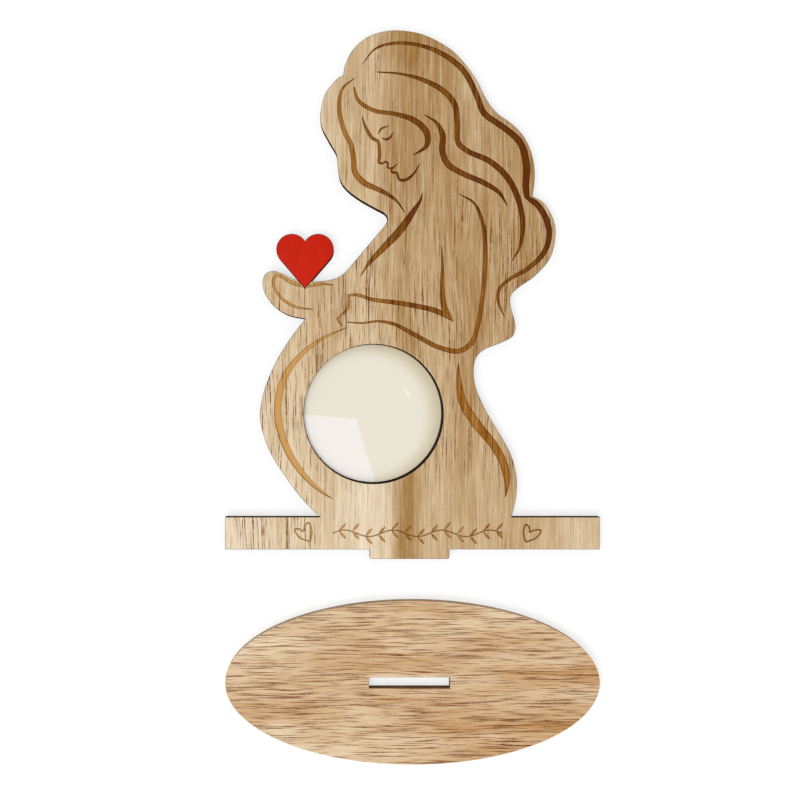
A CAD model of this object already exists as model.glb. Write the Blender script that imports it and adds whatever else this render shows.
"""A wooden photo frame, taken apart and laid out flat on a white table, as it is seen from above.

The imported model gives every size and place. Each piece here is the finished form of one of its solids:
boards with charred, softly rounded cuts and engraved lines, a clear dome over a photo card, a painted heart
and an oval base.
"""

import logging
import math
from collections.abc import Sequence
from dataclasses import dataclass, field
from enum import Enum

import bmesh
import bpy
from mathutils import Color, Matrix, Vector, geometry, kdtree

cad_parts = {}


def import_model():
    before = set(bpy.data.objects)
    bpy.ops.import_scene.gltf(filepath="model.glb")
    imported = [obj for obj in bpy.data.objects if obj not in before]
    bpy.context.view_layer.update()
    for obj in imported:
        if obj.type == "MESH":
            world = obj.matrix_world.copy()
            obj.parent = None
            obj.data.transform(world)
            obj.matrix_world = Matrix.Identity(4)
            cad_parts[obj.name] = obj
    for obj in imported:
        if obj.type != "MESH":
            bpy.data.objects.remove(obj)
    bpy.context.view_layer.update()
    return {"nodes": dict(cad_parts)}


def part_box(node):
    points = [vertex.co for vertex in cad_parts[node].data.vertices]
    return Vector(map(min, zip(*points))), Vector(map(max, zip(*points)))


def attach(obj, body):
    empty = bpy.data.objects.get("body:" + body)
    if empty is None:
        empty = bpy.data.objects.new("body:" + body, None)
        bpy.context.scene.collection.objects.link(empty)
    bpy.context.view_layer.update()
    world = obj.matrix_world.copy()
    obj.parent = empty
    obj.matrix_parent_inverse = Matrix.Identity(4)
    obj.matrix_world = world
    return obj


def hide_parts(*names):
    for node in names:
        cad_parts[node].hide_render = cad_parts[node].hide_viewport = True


log = logging.getLogger("photo_frame")

Colour = tuple[int, int, int]
Span = tuple[float, float]
Triple = tuple[float, float, float]
Socket = bpy.types.NodeSocket
Node = bpy.types.Node
Material = bpy.types.Material
Piece = bpy.types.Object
Face = bmesh.types.BMFace
Vert = bmesh.types.BMVert
Feed = Socket | float | Sequence[float] | Material

MM = 0.001
UP = (0.0, 0.0, 1.0)
WHITE = (1.0, 1.0, 1.0, 1.0)
BRIGHTEST = 255
QUARTER = math.pi / 2
FULL = (0.0, 1.0)
INNER = "inner"

# How far a dash reaches in its cell, its gaps as shares of its width and length, and where a gap fades
DASH_REACH = (0.05, 0.45)
DASH_GAP = (0.6, 0.075)
GAP_RANGE = (0.4, 0.55)

# Steps round an outline, and rows over a rounded corner, a flat underside and a crowned top
AROUND = 240
ROUND_ROWS = 4
FLAT_ROWS = 3
CROWN_ROWS = 18

# What counts as one point, an open edge, a flat face, the table's level, a floor and a sharp edge
WELD = 0.002 * MM
SAME_POINT = 0.001 * MM
OPEN_EDGE = 1.5
FLAT = 0.99
ON_TABLE = 0.001
BELOW_TOP = 0.01
SHARP = math.radians(40)

# How far an offset may run out at a corner, and how faces are filled
MITRE = 0.5
ALL_TRIANGLES = 0
TOUCHING = 1e-6
RING_SHARE = 3


def linear(colour: Colour) -> tuple[float, ...]:
    """Turns a colour in screen values from 0 to 255 into linear light with full alpha."""
    return *Color([value / BRIGHTEST for value in colour]).from_srgb_to_scene_linear(), 1.0


def in_scene(name: str, data: bpy.types.ID) -> Piece:
    """Puts data into the scene.

    Args:
        name: the new object's name.
        data: its mesh, lamp or camera.

    Returns:
        The object, at the origin.
    """
    thing = bpy.data.objects.new(name, data)
    bpy.context.scene.collection.objects.link(thing)
    return thing


def stand_for(piece: Piece, node: str, body: str) -> Piece:
    """Puts a finished piece in the place of its solid.

    Args:
        piece: the piece.
        node: the solid that it stands for.
        body: the body that it moves with.

    Returns:
        The piece.
    """
    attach(piece, body)
    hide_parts(node)
    return piece


def disc_of(node: str) -> tuple[Vector, float]:
    """Gives the middle and the radius of a round solid."""
    low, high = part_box(node)
    return (low + high) / 2, (high.x - low.x) / 2


def fold_marks(first: int, rows: int) -> list[float]:
    """Gives where two rounded corners start and end across a strip, as shares of its rows."""
    counts = (0, ROUND_ROWS, ROUND_ROWS + 1, 2 * ROUND_ROWS + 1)
    return [(first + count) / rows for count in counts]


def search_tree(points: Sequence[Vector]) -> kdtree.KDTree:
    """Sorts flat points, so that the one nearest to a place is found quickly.

    Args:
        points: the points.

    Returns:
        The sorted points.
    """
    tree = kdtree.KDTree(len(points))
    for index, point in enumerate(points):
        tree.insert(point.to_3d(), index)
    tree.balance()
    return tree


class Course(Enum):
    """How a value runs between the ends of its range."""

    STRAIGHT = "LINEAR"
    SOFT = "SMOOTHSTEP"


class Graph:
    """A node tree that is written as calls which take and give sockets."""

    def __init__(self, tree: bpy.types.NodeTree) -> None:
        """Starts on the tree that the nodes go into."""
        self.tree = tree

    def add(self, kind: str, feeds: dict[str | int, Feed] | None = None, **settings: object) -> Node:
        """Adds one node.

        Args:
            kind: the node's type name.
            feeds: what each input gets, a socket to link or a plain value.
            settings: the node's own properties.

        Returns:
            The new node.
        """
        node = self.tree.nodes.new(kind)
        for name, value in settings.items():
            setattr(node, name, value)
        for key, value in (feeds or {}).items():
            if isinstance(value, Socket):
                self.tree.links.new(value, node.inputs[key])
            else:
                node.inputs[key].default_value = value
        return node

    def give(self, kind: str, feeds: dict[str | int, Feed] | None = None, **settings: object) -> Socket:
        """Adds one node and gives its first output."""
        return self.add(kind, feeds, **settings).outputs[0]

    def math(self, operation: str, *values: Feed) -> Socket:
        """Does sums on numbers, by an operation of the Math node."""
        return self.give("ShaderNodeMath", dict(enumerate(values)), operation=operation)

    def vector(self, operation: str, *values: Feed) -> Socket:
        """Does sums on vectors, by an operation of the Vector Math node that gives a vector."""
        return self.give("ShaderNodeVectorMath", dict(enumerate(values)), operation=operation)

    def span(self, value: Feed, low: float, high: float, start: Feed = 0.0, end: Feed = 1.0,
             course: Course = Course.STRAIGHT) -> Socket:
        """Carries a value from the range low to high into the range start to end, and stops at its ends."""
        feeds = {"Value": value, "From Min": low, "From Max": high, "To Min": start, "To Max": end}
        return self.give("ShaderNodeMapRange", feeds, interpolation_type=course.value)

    def ease(self, *values: Feed) -> Socket:
        """Does what span does, with a soft start and end."""
        return self.span(*values, course=Course.SOFT)

    def vary(self, base: Feed, variation: Socket, amount: float) -> Socket:
        """Adds a variation about 0.5, times an amount, to a base."""
        return self.math("MULTIPLY_ADD", self.math("SUBTRACT", variation, 0.5), amount, base)

    def split(self, vector: Socket) -> tuple[Socket, Socket, Socket]:
        """Gives a vector's three numbers."""
        x, y, z = self.add("ShaderNodeSeparateXYZ", {0: vector}).outputs
        return x, y, z

    def join(self, x: Feed, y: Feed, z: Feed) -> Socket:
        """Makes a vector of three numbers."""
        return self.give("ShaderNodeCombineXYZ", {0: x, 1: y, 2: z})


class ShaderGraph(Graph):
    """A material's tree, which counts in millimetres."""

    def __init__(self, name: str) -> None:
        """Makes an empty material.

        Args:
            name: the material's name.
        """
        self.material = bpy.data.materials.new(name)
        self.material.use_nodes = True
        super().__init__(self.material.node_tree)
        self.tree.nodes.clear()

    def place(self) -> Socket:
        """Gives the place on the piece."""
        return self.vector("DIVIDE", self.add("ShaderNodeTexCoord").outputs["Object"], (MM, MM, MM))

    def reach(self, place: Socket, centre: Vector) -> Socket:
        """Gives how far a place is from an upright line through a centre."""
        x, y, _ = self.split(self.vector("SUBTRACT", place, (centre.x, centre.y, 0.0)))
        return self.math("SQRT", self.math("MULTIPLY_ADD", x, x, self.math("MULTIPLY", y, y)))

    def noise(self, place: Socket, size: Triple, detail: float = 2.0, roughness: float = 0.5) -> Socket:
        """Makes clouds of a size, which vary about 0.5, with some finer layers on them."""
        feeds = {"Vector": self.vector("DIVIDE", place, size), "Scale": 1.0}
        return self.give("ShaderNodeTexNoise", feeds | {"Detail": detail, "Roughness": roughness})

    def ramp(self, value: Socket, stops: Sequence[float], colours: Sequence[Colour]) -> Socket:
        """Colours a value.

        Args:
            value: a number from 0 to 1.
            stops: places along it.
            colours: the colours there.

        Returns:
            The colour.
        """
        node = self.add("ShaderNodeValToRGB", {0: value})
        elements = node.color_ramp.elements
        while len(elements) < len(stops):
            elements.new(1.0)
        for element, stop, colour in zip(elements, stops, colours):
            element.position = stop
            element.color = linear(colour)
        return node.outputs[0]

    def mix(self, share: Feed, first: Feed, second: Feed) -> Socket:
        """Mixes two colours by the share of the second."""
        return self.add("ShaderNodeMix", {0: share, 6: first, 7: second}, data_type="RGBA").outputs[2]

    def bump(self, height: Socket, depth: float, strength: float) -> Socket:
        """Turns a height from 0 to 1 into the normal of a relief of that depth."""
        return self.give("ShaderNodeBump", {"Height": height, "Distance": depth * MM, "Strength": strength})

    def finish(self, surface: Node) -> Material:
        """Ends the tree with the shader that the material shows."""
        self.add("ShaderNodeOutputMaterial", {"Surface": surface.outputs[0]})
        return self.material


@dataclass(frozen=True)
class Sheen:
    """How a surface takes light: roughness along its grain, shine, and a relief's depth and strength."""

    roughness: Span
    shine: float
    relief: Span
    grain: Span = (0.3, 0.7)

    def surface(self, graph: ShaderGraph, colour: Feed, grain: Socket, height: Socket) -> Material:
        """Ends a material's tree as a surface.

        Args:
            graph: the material's tree.
            colour: the surface's colour.
            grain: its fine variation.
            height: its relief from 0 to 1.

        Returns:
            The material.
        """
        feeds = {
            "Base Color": colour,
            "Roughness": graph.span(grain, *self.grain, *self.roughness),
            "Specular IOR Level": self.shine,
            "Normal": graph.bump(height, *self.relief),
        }
        return graph.finish(graph.add("ShaderNodeBsdfPrincipled", feeds))


class Grain(Enum):
    """The way that a board's grain runs."""

    UPRIGHT = "upright"
    LENGTHWISE = "lengthwise"


@dataclass(frozen=True)
class Layer:
    """A layer of streaks along the grain: its size, contrast, softness and how broken its dashes are."""

    width: float
    length: float
    contrast: float
    soft: float
    broken: float = 0.8

    def draw(self, graph: ShaderGraph, fibres: Socket, detail: float = 1.0) -> Socket:
        """Draws the layer as streaks from 0 to 1, with some finer layers on them."""
        cloud = graph.noise(fibres, (self.width, self.length, self.width), detail)
        return graph.span(cloud, 0.5 - self.soft, 0.5 + self.soft)

    def dashes(self, graph: ShaderGraph, fibres: Socket) -> Socket:
        """Draws the layer as separate thin dashes with pointed ends, one or none to a cell.

        Args:
            graph: the material's tree.
            fibres: the place across the grain, along it and through the board.

        Returns:
            The dashes from 0 to their contrast.
        """
        scaled = graph.vector("DIVIDE", fibres, (self.width, self.length, 1.0))
        settings = {"voronoi_dimensions": "2D", "distance": "MANHATTAN"}
        cell = graph.add("ShaderNodeTexVoronoi", {"Vector": scaled, "Scale": 1.0}, **settings).outputs
        chance, _, _ = graph.split(cell["Color"])
        reach = graph.span(chance, *FULL, *DASH_REACH)
        dash = graph.span(graph.math("SUBTRACT", reach, cell["Distance"]), 0.0, self.soft)
        width, length = DASH_GAP
        gaps = graph.noise(fibres, (width * self.width, length * self.length, 1.0), detail=1.0)
        dash = graph.math("MULTIPLY", dash, graph.span(gaps, *GAP_RANGE, 1.0 - self.broken, 1.0))
        return graph.math("MULTIPLY", dash, self.contrast)


@dataclass(frozen=True)
class Wood:
    """Bare wood with streaks along the grain and short dark pores."""

    name: str
    grain: Grain
    pale: Colour
    middle: Colour
    deep: Colour
    pore: Colour
    stops: Triple = (0.1, 0.5, 0.9)
    depth: float = 0.5
    band: Layer = Layer(14.0, 150.0, 0.2, 0.2)
    mottle: Layer = Layer(7.0, 14.0, 0.12, 0.25)
    streak: Layer = Layer(2.4, 70.0, 0.08, 0.2)
    fibre: Layer = Layer(0.7, 22.0, 0.12, 0.1)
    pores: Layer = Layer(0.8, 40.0, 1.0, 0.035, 0.6)
    hairs: Layer = Layer(0.5, 12.0, 0.65, 0.05, 0.65)
    flecks: Layer = Layer(1.0, 28.0, 0.24, 0.12)
    pore_patch: Layer = Layer(5.0, 30.0, 0.6, 0.2)
    sway: Layer = Layer(24.0, 70.0, 5.0, 0.5)
    sheen: Sheen = Sheen((0.6, 0.75), 0.12, (0.03, 0.4), FULL)

    def shift(self, graph: ShaderGraph, place: Socket) -> Feed:
        """Says how much deeper the tone is at a place, which is nothing on an even board."""
        return 0.0

    def openness(self, graph: ShaderGraph, place: Socket) -> Feed:
        """Says how strong the pores are at a place, which is the same all over an even board."""
        return 1.0

    def tones(self, graph: ShaderGraph) -> tuple[Socket, Socket, Socket]:
        """Draws the grain.

        Args:
            graph: the material's tree.

        Returns:
            The colour, the fine fibres and the pores.
        """
        place = graph.place()
        x, y, z = graph.split(place)
        across, along = (x, y) if self.grain is Grain.UPRIGHT else (y, x)
        sway = self.sway.draw(graph, graph.join(across, along, z))
        fibres = graph.join(graph.vary(across, sway, self.sway.contrast), along, z)
        tone = graph.math("ADD", self.shift(graph, place), self.depth)
        for detail, layer in enumerate((self.band, self.mottle, self.streak, self.fibre)):
            lines = layer.draw(graph, fibres, detail)
            tone = graph.vary(tone, lines, layer.contrast)
        colour = graph.ramp(tone, self.stops, (self.pale, self.middle, self.deep))
        colour = graph.mix(self.flecks.dashes(graph, fibres), colour, linear(self.pale))
        aside = graph.vector("ADD", fibres, (self.pores.length, self.flecks.length, 0.0))
        pores = graph.math("MAXIMUM", self.pores.dashes(graph, aside), self.hairs.dashes(graph, aside))
        patch = self.pore_patch.draw(graph, fibres)
        patch = graph.span(patch, *FULL, 1.0 - self.pore_patch.contrast, 1.0)
        patch = graph.math("MULTIPLY", patch, self.openness(graph, place))
        pores = graph.math("MULTIPLY", pores, patch)
        return graph.mix(pores, colour, linear(self.pore)), lines, pores

    def material(self) -> Material:
        """Makes the material of the board's faces.

        Returns:
            The material.
        """
        graph = ShaderGraph(self.name)
        colour, lines, pores = self.tones(graph)
        return self.sheen.surface(graph, colour, lines, graph.math("SUBTRACT", lines, pores))


@dataclass(frozen=True)
class PanelWood(Wood):
    """The panel's wood: paler on the left, deeper towards the head, with a band of heartwood down it."""

    edge: Triple = (7.0, 70.0, 7.0)
    edge_sway: float = 12.0
    upper_body: Span = (-30.0, 40.0)
    upper_depth: Span = (0.05, 0.22)
    left_side: Span = (-19.0, -4.0)
    left_lightness: float = 0.22
    heartwood_x: float = -2.6
    heartwood_half: float = 9.0
    heartwood_depth: Span = (0.32, 0.08)
    heartwood_end: Span = (-30.0, 60.0)
    open_body: Span = (60.0, 95.0)
    open_share: Span = (1.4, 0.7)
    closed_low: Span = (-20.0, -40.0)
    closed_right: Span = (-50.0, -30.0)
    closed_share: float = 0.3

    def heartwood(self, graph: ShaderGraph, x: Socket, half: float, peak: float) -> Socket:
        """Gives a band along the heartwood, which falls from its peak to nothing over half its width."""
        off = graph.math("ABSOLUTE", graph.math("SUBTRACT", x, self.heartwood_x))
        return graph.ease(off, 0.0, half, peak, 0.0)

    def shift(self, graph: ShaderGraph, place: Socket) -> Feed:
        """Deepens the upper body and the heartwood, and lightens the left side.

        Args:
            graph: the material's tree.
            place: the place on the panel.

        Returns:
            How much deeper the tone is.
        """
        x, y, _ = graph.split(place)
        x = graph.vary(x, graph.noise(place, self.edge), self.edge_sway)
        upper = graph.ease(y, *self.upper_body, *self.upper_depth)
        left = graph.ease(x, *self.left_side, -self.left_lightness, 0.0)
        band = self.heartwood(graph, x, self.heartwood_half, 1.0)
        band = graph.math("MULTIPLY", band, graph.ease(y, *self.heartwood_end, *self.heartwood_depth))
        return graph.math("ADD", graph.math("ADD", upper, left), band)

    def openness(self, graph: ShaderGraph, place: Socket) -> Feed:
        """Gives the head and the lower right weaker pores than the body.

        Args:
            graph: the material's tree.
            place: the place on the panel.

        Returns:
            The strength of the pores.
        """
        x, y, _ = graph.split(place)
        share = graph.span(y, *self.open_body, *self.open_share)
        corner = graph.math("MULTIPLY", graph.span(y, *self.closed_low), graph.span(x, *self.closed_right))
        return graph.math("MULTIPLY", share, graph.span(corner, *FULL, 1.0, self.closed_share))


@dataclass(frozen=True)
class BaseWood(Wood):
    """The base's wood, deeper towards its right end and paler on the side next to the panel."""

    edge: Triple = (60.0, 9.0, 9.0)
    edge_sway: float = 160.0
    ends: Span = (-60.0, 70.0)
    ends_depth: Span = (-0.04, 0.14)
    far_side: Span = (-110.0, -92.0)
    far_lightness: float = 0.17

    def shift(self, graph: ShaderGraph, place: Socket) -> Feed:
        """Deepens the right end along an uneven edge and lightens the far side.

        Args:
            graph: the material's tree.
            place: the place on the base.

        Returns:
            How much deeper the tone is.
        """
        x, y, _ = graph.split(place)
        x = graph.vary(x, graph.noise(place, self.edge), self.edge_sway)
        far = graph.span(y, *self.far_side, 0.0, self.far_lightness)
        return graph.math("SUBTRACT", graph.span(x, *self.ends, *self.ends_depth), far)


@dataclass(frozen=True)
class Engraving:
    """The scorched floor of an engraved line, darker along its walls, with the board's grain under it."""

    name: str
    wood: PanelWood
    golden: Colour
    amber: Colour
    russet: Colour
    burnt: Colour
    ways: Span = (-30.0, 76.0)
    stops: Triple = (0.0, 0.5, 1.0)
    slant: float = 0.47
    slant_top: float = 80.0
    heartwood_way: float = 34.0
    heartwood_reach: float = 24.0
    heartwood_fade: Span = (80.0, 140.0)
    heartwood_left: float = 0.3
    light_centre: Triple = (37.0, 46.0, 0.0)
    light_reach: Span = (8.0, 34.0)
    light_way: float = -24.0
    patch: Triple = (3.0, 9.0, 3.0)
    patch_way: float = 24.0
    grain_way: float = 30.0
    pore_way: float = 50.0
    cover: float = 0.96
    burnt_share: float = 0.5
    burnt_width: Span = (0.14, 0.34)
    sheen: Sheen = Sheen((0.7, 0.85), 0.0, (0.08, 0.6), FULL)

    def material(self) -> Material:
        """Makes the material.

        Returns:
            The material.
        """
        graph = ShaderGraph(self.name)
        colour, lines, pores = self.wood.tones(graph)
        place = graph.place()
        x, y, _ = graph.split(place)
        core = self.wood.heartwood(graph, x, self.heartwood_reach, self.heartwood_way)
        core = graph.math("MULTIPLY", core, graph.span(y, *self.heartwood_fade, 1.0, self.heartwood_left))
        reach = graph.reach(place, Vector(self.light_centre))
        light = graph.ease(reach, *self.light_reach, self.light_way, 0.0)
        way = graph.math("MULTIPLY_ADD", graph.math("MINIMUM", y, self.slant_top), self.slant, x)
        way = graph.math("ADD", graph.math("ADD", way, core), light)
        way = graph.vary(way, graph.noise(place, self.patch), self.patch_way)
        way = graph.vary(way, lines, self.grain_way)
        way = graph.math("MULTIPLY_ADD", pores, self.pore_way, way)
        scorch = graph.ramp(graph.span(way, *self.ways), self.stops, (self.golden, self.amber, self.russet))
        inner = graph.add("ShaderNodeAttribute", attribute_name=INNER).outputs["Fac"]
        edge = graph.span(inner, *self.burnt_width, self.burnt_share, 0.0)
        colour = graph.mix(edge, graph.mix(self.cover, colour, scorch), linear(self.burnt))
        return self.sheen.surface(graph, colour, lines, graph.math("SUBTRACT", lines, pores))


@dataclass(frozen=True)
class CharredCut:
    """A cut edge, burnt dark, with the upright marks that the cutting beam leaves."""

    name: str = "charred_cut"
    soot: Colour = (24, 15, 9)
    brown: Colour = (74, 46, 27)
    stops: Span = (0.35, 0.7)
    marks: Triple = (0.45, 0.45, 9.0)
    patch: Triple = (7.0, 7.0, 7.0)
    sheen: Sheen = Sheen((0.6, 0.8), 0.0, (0.05, 0.6))

    def material(self) -> Material:
        """Makes the material.

        Returns:
            The material.
        """
        graph = ShaderGraph(self.name)
        place = graph.place()
        marks = graph.noise(place, self.marks)
        patch = graph.noise(place, self.patch, detail=1.0)
        tone = graph.math("MULTIPLY_ADD", patch, 0.5, graph.math("MULTIPLY", marks, 0.5))
        colour = graph.ramp(tone, self.stops, (self.soot, self.brown))
        return self.sheen.surface(graph, colour, marks, marks)


@dataclass(frozen=True)
class Paint:
    """Satin paint on wood, with the grain just showing under it."""

    name: str = "heart_red"
    shade: Colour = (194, 30, 8)
    colour: Colour = (203, 33, 9)
    stops: Span = (0.3, 0.65)
    cloud: Triple = (5.0, 9.0, 5.0)
    fibre: Triple = (0.4, 7.0, 0.4)
    sheen: Sheen = Sheen((0.48, 0.6), 0.08, (0.03, 0.35))

    def material(self) -> Material:
        """Makes the material.

        Returns:
            The material.
        """
        graph = ShaderGraph(self.name)
        place = graph.place()
        cloud = graph.noise(place, self.cloud, detail=3.0)
        colour = graph.ramp(cloud, self.stops, (self.shade, self.colour))
        fibre = graph.noise(place, self.fibre)
        return self.sheen.surface(graph, colour, fibre, fibre)


@dataclass(frozen=True)
class Paper:
    """Blank photo card, a little stained towards its edge."""

    centre: Vector
    radius: float
    name: str = "card_cream"
    cream: Colour = (235, 229, 210)
    stain: Colour = (208, 194, 160)
    stain_aside: Triple = (-3.2, -0.6, 0.0)
    stain_range: Span = (0.8, 1.08)
    fibre: Triple = (0.7, 0.7, 0.7)
    fibre_range: Span = (0.2, 0.8)
    fibre_share: Span = (0.8, 1.0)
    sheen: Sheen = Sheen((0.62, 0.75), 0.1, (0.02, 0.3))

    def material(self) -> Material:
        """Makes the material.

        Returns:
            The material.
        """
        graph = ShaderGraph(self.name)
        place = graph.place()
        reach = graph.reach(place, self.centre / MM + Vector(self.stain_aside))
        stain = graph.ease(reach, *(share * self.radius / MM for share in self.stain_range))
        fibre = graph.noise(place, self.fibre, detail=3.0)
        share = graph.math("MULTIPLY", stain, graph.span(fibre, *self.fibre_range, *self.fibre_share))
        colour = graph.mix(share, linear(self.cream), linear(self.stain))
        return self.sheen.surface(graph, colour, fibre, fibre)


@dataclass(frozen=True)
class Hardboard:
    """A disc of pressed brown board with flecks of fibre, scorched where it was cut."""

    centre: Vector
    radius: float
    name: str = "backing_brown"
    brown: Colour = (128, 92, 62)
    fleck: Colour = (158, 120, 84)
    stops: Span = (0.35, 0.7)
    scorch: Colour = (26, 14, 7)
    scorch_width: Span = (1.9, 1.0)
    flecks: Triple = (0.9, 0.5, 0.6)
    fleck_roughness: float = 0.7
    sheen: Sheen = Sheen((0.7, 0.85), 0.5, (0.06, 0.5))

    def material(self) -> Material:
        """Makes the material.

        Returns:
            The material.
        """
        graph = ShaderGraph(self.name)
        place = graph.place()
        fleck = graph.noise(place, self.flecks, detail=3.0, roughness=self.fleck_roughness)
        colour = graph.ramp(fleck, self.stops, (self.brown, self.fleck))
        reach = graph.reach(place, self.centre / MM)
        scorch = graph.span(reach, *(self.radius / MM - width for width in self.scorch_width))
        return self.sheen.surface(graph, graph.mix(scorch, colour, linear(self.scorch)), fleck, fleck)


@dataclass(frozen=True)
class Clear:
    """A clear coated dome that lies wet on what is under it, so that its underside and edge don't shine."""

    bottom: float
    wet_edge: float = 1.5 * MM
    name: str = "clear_dome"
    roughness: float = 0.015
    refraction: float = 1.49
    shine: float = 0.71
    bloom: Triple = (0.48, 0.55, 1.0)

    def material(self) -> Material:
        """Makes the material.

        Returns:
            The material.
        """
        graph = ShaderGraph(self.name)
        feeds = {
            "Base Color": WHITE,
            "Roughness": self.roughness,
            "IOR": self.refraction,
            "Transmission Weight": 1.0,
            "Specular IOR Level": self.shine,
            "Specular Tint": (*self.bloom, 1.0),
        }
        body = graph.give("ShaderNodeBsdfPrincipled", feeds)
        path = graph.add("ShaderNodeLightPath").outputs
        through = graph.math("MAXIMUM", path["Is Shadow Ray"], path["Is Diffuse Ray"])
        _, _, height = graph.split(graph.place())
        wet = graph.math("LESS_THAN", height, (self.bottom + self.wet_edge) / MM)
        through = graph.math("MAXIMUM", through, wet)
        window = graph.give("ShaderNodeBsdfTransparent")
        return graph.finish(graph.add("ShaderNodeMixShader", {0: through, 1: body, 2: window}))


class GeometryGraph(Graph):
    """A Geometry Nodes tree with named sizes, whose result is turned into a plain mesh."""

    def __init__(self, name: str) -> None:
        """Makes an empty tree.

        Args:
            name: the tree's name.
        """
        super().__init__(bpy.data.node_groups.new(name, "GeometryNodeTree"))
        self.tree.interface.new_socket("Geometry", in_out="OUTPUT", socket_type="NodeSocketGeometry")
        self.source = self.add("NodeGroupInput")
        self.identifiers: dict[str, str] = {}

    def sizes(self, *names: str) -> list[Socket]:
        """Adds named sizes to the tree's inputs.

        Args:
            names: the sizes' names.

        Returns:
            The sockets that give them, in metres.
        """
        for name in names:
            item = self.tree.interface.new_socket(name, in_out="INPUT", socket_type="NodeSocketFloat")
            self.identifiers[name] = item.identifier
        return [self.source.outputs[name] for name in names]

    def strip(self, rows: int) -> tuple[Socket, Socket, Socket]:
        """Makes a strip of faces that goes once round a piece.

        Args:
            rows: how many faces lie across it.

        Returns:
            The strip, and the shares of the way along it and across it.
        """
        grid = self.give("GeometryNodeMeshGrid", {"Vertices X": AROUND + 1, "Vertices Y": rows + 1})
        centred = self.give("GeometryNodeInputPosition")
        u, v, _ = self.split(self.vector("ADD", centred, (0.5, 0.5, 0.0)))
        return grid, u, v

    def fold(self, v: Socket, marks: Sequence[float], end: Feed, rounding: Socket,
             edge: Socket) -> tuple[Socket, Socket]:
        """Folds a strip round a board's edge, over its two rounded corners.

        Args:
            v: the share of the way across the strip.
            marks: where the lower corner starts and ends, and where the upper one does.
            end: the angle at which the upper corner ends.
            rounding: the corners' radius.
            edge: the height of the edge.

        Returns:
            How far the strip lies inside the board's outline, and how high.
        """
        low = self.span(v, *marks[:2], -QUARTER, 0.0)
        high = self.span(v, *marks[2:], 0.0, end)
        folds = self.math("ADD", self.math("COSINE", low), self.math("COSINE", high))
        inset = self.math("MULTIPLY", self.math("SUBTRACT", 2.0, folds), rounding)
        upper = self.math("GREATER_THAN", v, (marks[1] + marks[2]) / 2)
        wall = self.math("MULTIPLY", upper, self.math("MULTIPLY_ADD", rounding, -2.0, edge))
        rise = self.math("ADD", self.math("SINE", low), self.math("SINE", high))
        return inset, self.math("MULTIPLY_ADD", self.math("ADD", rise, 1.0), rounding, wall)

    def rim(self, curve: Socket, thickness: Socket, rounding: Socket) -> Socket:
        """Lays the rounded edge of a board along a closed line.

        Args:
            curve: the closed flat line, with the board on its left.
            thickness: the board's thickness.
            rounding: the radius of its edges.

        Returns:
            The edge as an open mesh that ends on the board's two faces.
        """
        rows = 2 * ROUND_ROWS + 1
        grid, u, v = self.strip(rows)
        inset, height = self.fold(v, fold_marks(0, rows), QUARTER, rounding, thickness)
        feeds = {"Curves": curve, "Factor": u}
        line = self.add("GeometryNodeSampleCurve", feeds, mode="FACTOR", data_type="FLOAT").outputs
        left = self.vector("CROSS_PRODUCT", UP, line["Tangent"])
        inward = self.vector("MULTIPLY", left, self.join(inset, inset, inset))
        spot = self.vector("ADD", line["Position"], inward)
        spot = self.vector("ADD", spot, self.join(0.0, 0.0, height))
        return self.give("GeometryNodeSetPosition", {0: grid, "Position": spot})

    def face(self, rim: Socket, thickness: Socket, upper: bool) -> Socket:
        """Fills one flat face of a board up to its rounded edges.

        Args:
            rim: the welded edges.
            thickness: the board's thickness.
            upper: whether it is the upper face.

        Returns:
            The face.
        """
        open_edge = self.math("LESS_THAN", self.give("GeometryNodeInputMeshEdgeNeighbors"), OPEN_EDGE)
        _, _, z = self.split(self.give("GeometryNodeInputPosition"))
        half = self.math("MULTIPLY", thickness, 0.5)
        side = self.math("GREATER_THAN" if upper else "LESS_THAN", z, half)
        chosen = self.math("MULTIPLY", open_edge, side)
        line = self.give("GeometryNodeMeshToCurve", {0: rim, "Selection": chosen})
        level = self.join(0.0, 0.0, thickness if upper else 0.0)
        face = self.give("GeometryNodeFillCurve", {0: line})
        face = self.give("GeometryNodeTransform", {0: face, "Translation": level})
        return face if upper else self.give("GeometryNodeFlipFaces", {0: face})

    def merge(self, *parts: Socket) -> Socket:
        """Joins meshes and welds the points that meet.

        Args:
            parts: the meshes.

        Returns:
            The joined mesh.
        """
        joined = self.add("GeometryNodeJoinGeometry")
        for part in parts:
            self.tree.links.new(part, joined.inputs[0])
        return self.give("GeometryNodeMergeByDistance", {0: joined.outputs[0], "Distance": WELD})

    def dress(self, shape: Socket, finish: Material) -> Socket:
        """Sets the material of a part of the mesh."""
        real = self.give("GeometryNodeRealizeInstances", {0: shape})
        return self.give("GeometryNodeSetMaterial", {0: real, "Material": finish})

    def bake(self, name: str, shape: Socket, sizes: dict[str, float], place: Vector) -> Piece:
        """Ends the tree, runs it and keeps its result as a plain mesh.

        Args:
            name: the piece's name.
            shape: the tree's finished mesh.
            sizes: the value of each named size, in metres.
            place: where the mesh goes.

        Returns:
            The new piece, at the origin with its place in its mesh.
        """
        self.add("NodeGroupOutput", {0: shape})
        piece = in_scene(name, bpy.data.meshes.new(name))
        modifier = piece.modifiers.new(name, "NODES")
        modifier.node_group = self.tree
        for key, value in sizes.items():
            modifier[self.identifiers[key]] = value
        evaluated = piece.evaluated_get(bpy.context.evaluated_depsgraph_get())
        mesh = bpy.data.meshes.new_from_object(evaluated)
        piece.modifiers.clear()
        piece.data = mesh
        mesh.name = name
        for index in reversed(range(len(mesh.materials))):
            if mesh.materials[index] is None:
                mesh.materials.pop(index=index)
        mesh.transform(Matrix.Translation(place))
        return piece


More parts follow.
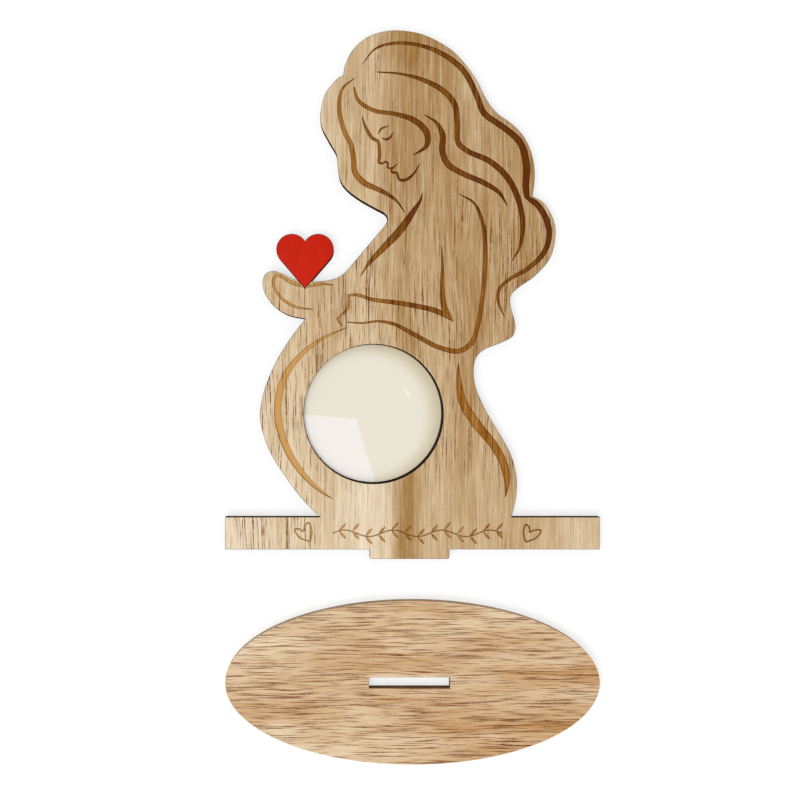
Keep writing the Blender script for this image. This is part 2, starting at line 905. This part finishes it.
@dataclass
class BasePlate:
    """The oval base: an ellipse with softly rounded edges and one slot for the panel's tab."""

    wood: Material
    edge: Material
    cut: Material
    rounding: float = 0.16 * MM
    slot_length: float = 32.3 * MM
    slot_width: float = 4.3 * MM
    slot_offset: float = -1.2 * MM

    def shape(self, graph: GeometryGraph) -> Socket:
        """Builds the plate's tree.

        Args:
            graph: the empty tree.

        Returns:
            The plate's mesh.
        """
        length, width, thickness, rounding = graph.sizes("Length", "Width", "Thickness", "Edge Rounding")
        slot_length, slot_width, offset = graph.sizes("Slot Length", "Slot Width", "Slot Offset")
        oval = graph.give("GeometryNodeCurvePrimitiveCircle", {"Resolution": AROUND, "Radius": 0.5})
        oval = graph.give("GeometryNodeTransform", {0: oval, "Scale": graph.join(length, width, 1.0)})
        feeds = {"Width": slot_length, "Height": slot_width}
        slot = graph.give("GeometryNodeCurvePrimitiveQuadrilateral", feeds)
        slot = graph.give("GeometryNodeTransform", {0: slot, "Translation": graph.join(offset, 0.0, 0.0)})
        slot = graph.give("GeometryNodeReverseCurve", {0: slot})
        edge = graph.dress(graph.rim(oval, thickness, rounding), self.edge)
        cut = graph.dress(graph.rim(slot, thickness, rounding), self.cut)
        rim = graph.merge(edge, cut)
        faces = [graph.face(rim, thickness, upper) for upper in (True, False)]
        return graph.merge(rim, *(graph.dress(face, self.wood) for face in faces))

    def build(self) -> Piece:
        """Builds the plate in the place of its solid.

        Returns:
            The finished piece.
        """
        low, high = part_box("base_plate")
        sizes = {
            "Length": high.x - low.x,
            "Width": high.y - low.y,
            "Thickness": high.z - low.z,
            "Edge Rounding": self.rounding,
            "Slot Length": self.slot_length,
            "Slot Width": self.slot_width,
            "Slot Offset": self.slot_offset,
        }
        middle = Vector(((low.x + high.x) / 2, (low.y + high.y) / 2, low.z))
        graph = GeometryGraph("slotted_oval")
        piece = graph.bake("oval_base", self.shape(graph), sizes, middle)
        return stand_for(piece, "base_plate", "base")


@dataclass
class WindowPack:
    """What fills the round window: the dome, the photo card under it and the backing disc behind them."""

    dome: Material
    card: Material
    backing: Material
    dome_edge: float = 1.6 * MM
    dome_rounding: float = 0.06 * MM
    dome_reach: float = 0.2 * MM
    dome_lift: float = 0.02 * MM
    card_rounding: float = 0.05 * MM
    backing_rounding: float = 0.1 * MM
    backing_reach: float = 0.25 * MM
    aside: Span = (-0.14 * MM, -0.02 * MM)

    def shape(self, graph: GeometryGraph, finish: Material) -> Socket:
        """Builds the tree of a round disc with a rounded edge and a crowned top.

        Args:
            graph: the empty tree.
            finish: the disc's material.

        Returns:
            The disc's mesh.
        """
        radius, edge, rounding, crown = graph.sizes("Radius", "Edge", "Edge Rounding", "Crown")
        rows = FLAT_ROWS + 2 * ROUND_ROWS + 1 + CROWN_ROWS
        marks = fold_marks(FLAT_ROWS, rows)
        grid, u, v = graph.strip(rows)
        flat = graph.math("SUBTRACT", radius, rounding)
        slope = graph.math("ARCTANGENT", graph.math("DIVIDE", graph.math("MULTIPLY", crown, 2.0), flat))
        end = graph.math("SUBTRACT", QUARTER, slope)
        inset, height = graph.fold(v, marks, end, rounding, edge)
        under = graph.span(v, 0.0, marks[0], flat, 0.0)
        top = graph.math("SUBTRACT", graph.math("COSINE", end), 1.0)
        top = graph.math("MULTIPLY_ADD", top, rounding, radius)
        over = graph.span(v, marks[3], 1.0, 0.0, top)
        reach = graph.math("ADD", inset, graph.math("ADD", under, over))
        reach = graph.math("SUBTRACT", radius, reach)
        share = graph.math("DIVIDE", reach, top)
        dome = graph.math("SUBTRACT", 1.0, graph.math("MULTIPLY", share, share))
        dome = graph.math("MULTIPLY", crown, dome)
        dome = graph.math("MULTIPLY", dome, graph.math("GREATER_THAN", v, marks[3]))
        turn = graph.math("MULTIPLY", u, 2 * math.pi)
        x = graph.math("MULTIPLY", reach, graph.math("COSINE", turn))
        y = graph.math("MULTIPLY", reach, graph.math("SINE", turn))
        spot = graph.join(x, y, graph.math("ADD", height, dome))
        disc = graph.give("GeometryNodeSetPosition", {0: grid, "Position": spot})
        return graph.dress(graph.merge(disc), finish)

    def disc(self, piece: str, node: str, finish: Material, rounding: float, edge: float | None = None,
             lift: float = 0.0, reach: float = 0.0, with_dome: bool = True) -> Piece:
        """Builds one disc in the place of its solid.

        Args:
            piece: the new piece's name.
            node: the solid that it stands for.
            finish: its material.
            rounding: the radius of its edge.
            edge: how high its edge is, with the rest of its height in its crown, or none for a flat disc.
            lift: how far its underside is kept above the solid's.
            reach: how far its edge is kept beyond the solid's.
            with_dome: whether it lies on the dome's axis, a little aside, or on its own.

        Returns:
            The new piece.
        """
        low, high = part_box(node)
        middle, _ = disc_of("dome_lens" if with_dome else node)
        x, y = self.aside if with_dome else (0.0, 0.0)
        edge = high.z - low.z if edge is None else edge
        sizes = {
            "Radius": disc_of(node)[1] + reach,
            "Edge": edge - lift,
            "Edge Rounding": rounding,
            "Crown": high.z - low.z - edge,
        }
        graph = GeometryGraph(piece)
        place = Vector((middle.x + x, middle.y + y, low.z + lift))
        return graph.bake(piece, self.shape(graph, finish), sizes, place)

    def build(self) -> list[Piece]:
        """Builds the three discs.

        Returns:
            The finished pieces.
        """
        edge = (self.dome_rounding, self.dome_edge, self.dome_lift, self.dome_reach)
        dome = self.disc("dome", "dome_lens", self.dome, *edge)
        card = self.disc("card", "photo_card", self.card, self.card_rounding)
        edge = (self.backing_rounding, None, 0.0, self.backing_reach)
        backing = self.disc("backing", "backing_disc", self.backing, *edge, with_dome=False)
        return [
            stand_for(dome, "dome_lens", "lens"),
            stand_for(card, "photo_card", "photo"),
            stand_for(backing, "backing_disc", "panel"),
        ]


class Surface(Enum):
    """A board's kinds of surface, as its material slots."""

    FACE = 0
    CUT = 1
    ENGRAVED = 2


@dataclass
class CutLine:
    """A closed line on a board's face, in millimetres, with the wood on its left."""

    points: list[Vector]
    floor: float

    def neighbours(self, index: int) -> tuple[Vector, Vector]:
        """Gives the steps into and out of a point."""
        after = self.points[(index + 1) % len(self.points)]
        return self.points[index] - self.points[index - 1], after - self.points[index]

    def left(self, index: int) -> Vector:
        """Gives the way to the wood at a point.

        Args:
            index: the point's index.

        Returns:
            The way, longer where the line turns, so that an offset keeps its width.
        """
        into, out = (step.normalized() for step in self.neighbours(index))
        way = Vector((-into.y - out.y, into.x + out.x)) / 2
        return way.normalized() / max(way.length, MITRE)

    def area(self) -> float:
        """Measures what the line encloses, negative round a hole."""
        pairs = zip(self.points, self.points[1:] + self.points[:1])
        return sum(start.x * end.y - start.y * end.x for start, end in pairs) / 2

    def thin(self, least: float) -> "CutLine":
        """Drops points that crowd the one before.

        Args:
            least: the least step that is kept.

        Returns:
            The thinner line.
        """
        kept = [self.points[0]]
        for point in self.points[1:]:
            if (point - kept[-1]).length > least and (point - kept[0]).length > least:
                kept.append(point)
        return CutLine(kept, self.floor)

    def flow(self, step: float, corner: float) -> "CutLine":
        """Rounds the facets between the line's corners.

        Args:
            step: about how far apart the new points are.
            corner: the turn above which a point is a corner, in radians.

        Returns:
            The smooth line.
        """
        courses: list[Vector | None] = []
        for index in range(len(self.points)):
            into, out = self.neighbours(index)
            sharp = abs(into.angle_signed(out)) > corner
            courses.append(None if sharp else (into + out).normalized())
        points: list[Vector] = []
        for index, start in enumerate(self.points):
            _, chord = self.neighbours(index)
            following = (index + 1) % len(self.points)
            leave, arrive = (courses[k] or chord.normalized() for k in (index, following))
            end = self.points[following]
            handle = chord.length / 3
            parts = max(1, round(chord.length / step))
            first, second = start + leave * handle, end - arrive * handle
            points += geometry.interpolate_bezier(start, first, second, end, parts + 1)[:-1]
        return CutLine([Vector(point[:2]) for point in points], self.floor)

    def shift(self, distance: float) -> "CutLine":
        """Moves the line into the wood."""
        moved = [point + self.left(index) * distance for index, point in enumerate(self.points)]
        return CutLine(moved, self.floor)


@dataclass
class CutBoard:
    """A board that is cut and engraved along the lines of its solid, with soft charred edges.

    Its sizes are in millimetres.
    """

    node: str
    piece: str
    finishes: Sequence[Material]
    rounding: float = 0.16
    hole_rounding: float = 0.06
    step: float = 0.7
    corner: float = math.radians(15)
    crowding: float = 0.06
    inset: float = 0.03
    face_pitch: float = 6.0
    floor_pitch: float = 0.36
    clearance: float = 0.45
    lines: list[CutLine] = field(default_factory=list)
    top: float = 0.0

    def read(self) -> None:
        """Reads the cut lines from the board's solid: its outline and holes below, and engraved floors."""
        solid = bmesh.new()
        solid.from_mesh(bpy.data.objects[self.node].data)
        bmesh.ops.remove_doubles(solid, verts=solid.verts, dist=SAME_POINT)
        solid.normal_update()
        self.top = max(vert.co.z for vert in solid.verts) / MM
        levels: dict[float, list[Face]] = {}
        for face in solid.faces:
            height = round(face.calc_center_median().z / MM, 3)
            below = face.normal.z < -FLAT and height < ON_TABLE
            floor = face.normal.z > FLAT and height < self.top - BELOW_TOP
            if below or floor:
                levels.setdefault(height, []).append(face)
        for height, faces in levels.items():
            self.lines += [CutLine(points, height) for points in self.trace(faces)]
        solid.free()
        self.lines.sort(key=lambda line: line.floor)

    @staticmethod
    def trace(faces: list[Face]) -> list[list[Vector]]:
        """Follows the closed lines where a flat region ends.

        Args:
            faces: the region's faces.

        Returns:
            The lines in millimetres, with the region on their right seen along its normal.
        """
        region = set(faces)
        follow: dict[Vert, Vert] = {}
        for face in faces:
            for loop in face.loops:
                if not any(other in region for other in loop.edge.link_faces if other is not face):
                    follow[loop.link_loop_next.vert] = loop.vert
        lines: list[list[Vector]] = []
        while follow:
            vert, following = follow.popitem()
            line = [vert]
            while following in follow:
                line.append(following)
                following = follow.pop(following)
            lines.append([Vector((vert.co.x, vert.co.y)) / MM for vert in line])
        return lines

    def smooth(self) -> None:
        """Smooths every line, and keeps the engraved ones clear of the cuts that go right through."""
        thin = [line.thin(self.crowding) for line in self.lines]
        through = [line.flow(self.step, self.corner).shift(self.inset) for line in thin if line.floor == 0]
        edges = [(point, line.left(index)) for line in through for index, point in enumerate(line.points)]
        tree = search_tree([point for point, _ in edges])
        engraved = [line for line in thin if line.floor > 0]
        for line in engraved:
            for index, point in enumerate(line.points):
                _, nearest, distance = tree.find(point.to_3d())
                if distance < self.clearance:
                    line.points[index] = edges[nearest][0] + edges[nearest][1] * self.clearance
        self.lines = through + [line.flow(self.step, self.corner) for line in engraved]

    def rows(self, line: CutLine) -> list[tuple[CutLine, float]]:
        """Says where a line's wall runs, from the face down.

        Args:
            line: the line.

        Returns:
            The wall's lines with their heights in millimetres.
        """
        if line.floor > 0:
            return [(line, self.top), (line, line.floor)]
        rounding = self.rounding if line.area() > 0 else self.hole_rounding
        turns = [QUARTER * k / ROUND_ROWS for k in range(ROUND_ROWS + 1)]
        insets = [line.shift(rounding * (1 - math.sin(turn))) for turn in turns]
        drops = [rounding * (1 - math.cos(turn)) for turn in turns]
        upper = [(inset, self.top - drop) for inset, drop in zip(insets, drops)]
        return upper + list(zip(insets, drops))[::-1]

    def fill(self, mesh: bmesh.types.BMesh, rings: list[list[Vert]], finish: Surface) -> None:
        """Fills a flat face beside closed rings.

        Args:
            mesh: the mesh that gets the face.
            rings: its rings, outer ones and holes.
            finish: the kind of surface, an engraved floor right of its rings or a face left of them.
        """
        verts = [vert for ring in rings for vert in ring]
        height = verts[0].co.z
        places = [Vector((vert.co.x, vert.co.y)) / MM for vert in verts]
        edges: list[tuple[int, int]] = []
        for ring in rings:
            first = len(edges)
            edges += [(first + k, first + (k + 1) % len(ring)) for k in range(len(ring))]
        if finish is Surface.ENGRAVED:
            edges = [edge[::-1] for edge in edges]
        pitch = self.floor_pitch if finish is Surface.ENGRAVED else self.face_pitch
        inner = self.inner_points(places, pitch)
        places += [point for point, _ in inner]
        points, _, triangles, sources, _, _ = geometry.delaunay_2d_cdt(
            places, edges, [], ALL_TRIANGLES, TOUCHING
        )
        found = {source: index for index, group in enumerate(sources) for source in group}
        kept = self.beside(triangles, {(found[start], found[end]) for start, end in edges})
        used = {found[source]: vert for source, vert in enumerate(verts)}
        depth = mesh.verts.layers.float[INNER]
        for corners in kept:
            for index in corners:
                if index not in used:
                    used[index] = mesh.verts.new((*(points[index] * MM), height))
                    used[index][depth] = inner[sources[index][0] - len(verts)][1]
            order = corners if height > 0 else corners[::-1]
            mesh.faces.new([used[index] for index in order]).material_index = finish.value

    @staticmethod
    def beside(triangles: list[list[int]], rim: set[tuple[int, int]]) -> list[list[int]]:
        """Keeps the triangles that can be reached from a rim's left without crossing it.

        Args:
            triangles: the corners of all triangles, counter-clockwise.
            rim: the rim's directed edges.

        Returns:
            The triangles that are kept.
        """
        owner = {(corners[k - 1], corners[k]): corners for corners in triangles for k in range(3)}
        waiting = [owner[edge] for edge in sorted(rim)]
        kept: dict[tuple[int, ...], list[int]] = {}
        while waiting:
            corners = waiting.pop()
            if tuple(corners) in kept:
                continue
            kept[tuple(corners)] = corners
            sides = [(corners[k - 1], corners[k]) for k in range(3)]
            waiting += [owner[side[::-1]] for side in sides if side not in rim and side[::-1] in owner]
        return list(kept.values())

    @staticmethod
    def inner_points(ring: list[Vector], pitch: float) -> list[tuple[Vector, float]]:
        """Spreads points over a face, clear of its rings, so that its triangles are even.

        Args:
            ring: the rings' points.
            pitch: how far apart the new points are.

        Returns:
            The points, also outside the rings, where the fill drops them, with their distance from a ring.
        """
        tree = search_tree(ring)
        low = Vector((min(point.x for point in ring), min(point.y for point in ring)))
        high = Vector((max(point.x for point in ring), max(point.y for point in ring)))
        columns, lines = (math.ceil(side / pitch) for side in high - low)
        spread = [
            low + Vector((column + 0.5 * (line % 2), line)) * pitch
            for column in range(columns)
            for line in range(lines)
        ]
        placed = [(point, tree.find(point.to_3d())[2]) for point in spread]
        return [(point, distance) for point, distance in placed if distance > pitch / RING_SHARE]

    def build(self) -> Piece:
        """Builds the board's mesh.

        Returns:
            The new piece.
        """
        self.read()
        self.smooth()
        mesh = bmesh.new()
        mesh.verts.layers.float.new(INNER)
        levels: dict[float, list[list[Vert]]] = {}
        for line in self.lines:
            rings = [
                [mesh.verts.new((point.x * MM, point.y * MM, height * MM)) for point in row.points]
                for row, height in self.rows(line)
            ]
            finish = Surface.ENGRAVED if line.floor > 0 else Surface.CUT
            for upper, lower in zip(rings, rings[1:]):
                for k in range(len(upper)):
                    wall = mesh.faces.new((upper[k - 1], lower[k - 1], lower[k], upper[k]))
                    wall.material_index = finish.value
                    wall.smooth = True
            levels.setdefault(self.top, []).append(rings[0])
            levels.setdefault(line.floor, []).append(rings[-1])
        for height, rings in levels.items():
            self.fill(mesh, rings, Surface.FACE if height in (0, self.top) else Surface.ENGRAVED)
        shape = bpy.data.meshes.new(self.piece)
        mesh.to_mesh(shape)
        mesh.free()
        for material in self.finishes:
            shape.materials.append(material)
        shape.set_sharp_from_angle(angle=SHARP)
        return in_scene(self.piece, shape)


@dataclass
class FigurePanel:
    """The figure's board and the heart that stands in its palm, with sizes in millimetres."""

    wood: Material
    cut: Material
    engraved: Material
    paint: Material
    heart_rounding: float = 0.2
    heart_spread: float = 0.3

    def build(self) -> list[Piece]:
        """Builds the board and the heart in the places of their solids.

        Returns:
            The finished pieces.
        """
        board = CutBoard("figure_panel", "figure_board", (self.wood, self.cut, self.engraved))
        finishes = (self.paint, self.cut)
        heart = CutBoard("heart", "red_heart", finishes, self.heart_rounding, inset=-self.heart_spread)
        return [
            stand_for(board.build(), "figure_panel", "panel"),
            stand_for(heart.build(), "heart", "panel"),
        ]


class LampShape(Enum):
    """A lamp's shape, with the share of its box that it fills."""

    RECTANGLE = 1.0
    ELLIPSE = math.pi / 4


@dataclass
class Studio:
    """The white table, the soft light of a tall window and a pale room, and the camera above the layout."""

    floor_size: float = 6.0
    floor_depth: float = 0.05 * MM
    floor_tone: Colour = (160, 160, 160)
    floor_roughness: float = 0.9
    floor_glow: float = 0.68
    room_light: float = 0.57
    window_corner: Triple = (-0.438, -0.231, 3.173)
    window_across: Triple = (-0.791, 0.105, -0.603)
    window_down: Triple = (0.303, -0.795, -0.526)
    window_size: Span = (1.52, 1.86)
    window_radiance: float = 4.2
    bulb_place: Triple = (0.73, 0.4, 2.04)
    bulb_size: Span = (0.09, 0.27)
    bulb_length: Triple = (1.0, -1.0, 0.0)
    bulb_radiance: float = 3.2
    view_width: float = 320 * MM
    view_centre: Span = (-5.0 * MM, -1.0 * MM)
    camera_over: Span = (-24.0 * MM, 0.0)
    camera_height: float = 380 * MM
    board_top: float = 4.0 * MM
    sensor: float = 36.0

    @staticmethod
    def background_rays(graph: Graph) -> Socket:
        """Tells rays that see the background, straight or by gloss or through glass, from those that light.

        Args:
            graph: the tree of the table or the room.

        Returns:
            One for a ray that sees the background, and nothing for the others.
        """
        path = graph.add("ShaderNodeLightPath").outputs
        seen = graph.math("MAXIMUM", path["Is Camera Ray"], path["Is Glossy Ray"])
        return graph.math("MAXIMUM", seen, path["Is Transmission Ray"])

    def floor(self) -> None:
        """Lays the white table, which is no part of the object."""
        graph = ShaderGraph("white_table")
        feeds = {
            "Base Color": linear(self.floor_tone),
            "Roughness": self.floor_roughness,
            "Specular IOR Level": 0.0,
        }
        board = graph.give("ShaderNodeBsdfPrincipled", feeds)
        glow = graph.math("MULTIPLY", self.background_rays(graph), self.floor_glow)
        light = graph.give("ShaderNodeEmission", {"Strength": glow})
        half = self.floor_size / 2
        corners = [(-half, -half), (half, -half), (half, half), (-half, half)]
        mesh = bpy.data.meshes.new("table")
        mesh.from_pydata([(x, y, -self.floor_depth) for x, y in corners], [], [(0, 1, 2, 3)])
        mesh.materials.append(graph.finish(graph.add("ShaderNodeAddShader", {0: board, 1: light})))
        in_scene("table", mesh)

    def room(self) -> None:
        """Fills the room with even light, and shows it white."""
        world = bpy.data.worlds.new("pale_room")
        world.use_nodes = True
        graph = Graph(world.node_tree)
        graph.tree.nodes.clear()
        strength = graph.span(self.background_rays(graph), *FULL, self.room_light, 1.0)
        sky = graph.give("ShaderNodeBackground", {"Color": WHITE, "Strength": strength})
        graph.add("ShaderNodeOutputWorld", {"Surface": sky})
        bpy.context.scene.world = world

    @staticmethod
    def lamp(name: str, shape: LampShape, size: Span, radiance: float, place: Vector, across: Vector,
             away: Vector) -> None:
        """Hangs a flat lamp.

        Args:
            name: its name.
            shape: its shape.
            size: its width and height.
            radiance: how bright its face is.
            place: where its middle is.
            across: the way of its width.
            away: the way that its back looks.
        """
        data = bpy.data.lights.new(name, "AREA")
        data.shape = shape.name
        data.size, data.size_y = size
        data.energy = radiance * math.pi * shape.value * size[0] * size[1]
        turn = Matrix((across, away.cross(across), away)).transposed()
        in_scene(name, data).matrix_world = Matrix.Translation(place) @ turn.to_4x4()

    def window(self) -> None:
        """Hangs the window light, by its upper corner and the way of its two edges from there."""
        across = Vector(self.window_across).normalized()
        down = Vector(self.window_down)
        down = (down - across * down.dot(across)).normalized()
        width, height = self.window_size
        middle = Vector(self.window_corner) + across * width / 2 + down * height / 2
        light = (self.window_size, self.window_radiance, middle)
        self.lamp("window", LampShape.RECTANGLE, *light, across, across.cross(down))

    def bulb(self) -> None:
        """Hangs a small long lamp far away, which only shows as a faint streak in the dome."""
        place = Vector(self.bulb_place)
        away = place.normalized()
        across = Vector(self.bulb_length).cross(away).normalized()
        self.lamp("bulb", LampShape.ELLIPSE, self.bulb_size, self.bulb_radiance, place, across, away)

    def camera(self) -> None:
        """Sets the camera straight above, a little up and to the left of the picture's middle."""
        data = bpy.data.cameras.new("overhead")
        data.sensor_width = self.sensor
        data.lens = self.sensor * self.camera_height / self.view_width
        data.shift_x, data.shift_y = (
            (centre - over) / self.view_width for centre, over in zip(self.view_centre, self.camera_over)
        )
        camera = in_scene("overhead", data)
        camera.location = (*self.camera_over, self.board_top + self.camera_height)
        bpy.context.scene.camera = camera

    def build(self) -> None:
        """Builds the table, the light and the camera."""
        bpy.context.scene.view_settings.view_transform = "Standard"
        self.floor()
        self.room()
        self.window()
        self.bulb()
        self.camera()


PANEL_WOOD = PanelWood(
    "panel_grain", Grain.UPRIGHT, pale=(244, 229, 203), middle=(214, 186, 146), deep=(167, 126, 72),
    pore=(124, 76, 30),
)
BASE_WOOD = BaseWood(
    "base_grain", Grain.LENGTHWISE, pale=(240, 219, 185), middle=(217, 185, 146), deep=(187, 138, 80),
    pore=(116, 56, 8), band=Layer(9.0, 45.0, 0.32, 0.2), fibre=Layer(0.9, 20.0, 0.14, 0.12),
    pores=Layer(0.78, 34.0, 1.0, 0.03, 0.3), hairs=Layer(0.5, 15.0, 1.0, 0.05, 0.3),
    flecks=Layer(1.2, 24.0, 0.3, 0.12), pore_patch=Layer(5.0, 24.0, 0.3, 0.2),
    sway=Layer(14.0, 36.0, 2.4, 0.5),
)
ENGRAVING = Engraving(
    "engraving", PANEL_WOOD, golden=(210, 160, 92), amber=(160, 102, 30), russet=(96, 43, 5),
    burnt=(80, 37, 8),
)
BASE_EDGE = CharredCut("oval_edge", soot=(204, 168, 128), brown=(244, 218, 184))
BASE_SLOT = CharredCut("slot_edge", soot=(120, 88, 60), brown=(180, 142, 104))


def main() -> None:
    """Builds every piece in order, then the table, the light and the camera."""
    logging.basicConfig(level=logging.INFO, format="%(name)s: %(message)s")
    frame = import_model()
    log.info("frame loaded with %d solids", len(frame["nodes"]))
    wood, cut, engraved = PANEL_WOOD.material(), CharredCut().material(), ENGRAVING.material()
    panel = FigurePanel(wood, cut, engraved, Paint().material())
    pack = WindowPack(
        Clear(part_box("dome_lens")[0].z).material(),
        Paper(*disc_of("photo_card")).material(),
        Hardboard(*disc_of("backing_disc")).material(),
    )
    base = BasePlate(BASE_WOOD.material(), BASE_EDGE.material(), BASE_SLOT.material())
    for piece in (*panel.build(), *pack.build(), base.build()):
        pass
    Studio().build()


if __name__ == "__main__":
    main()
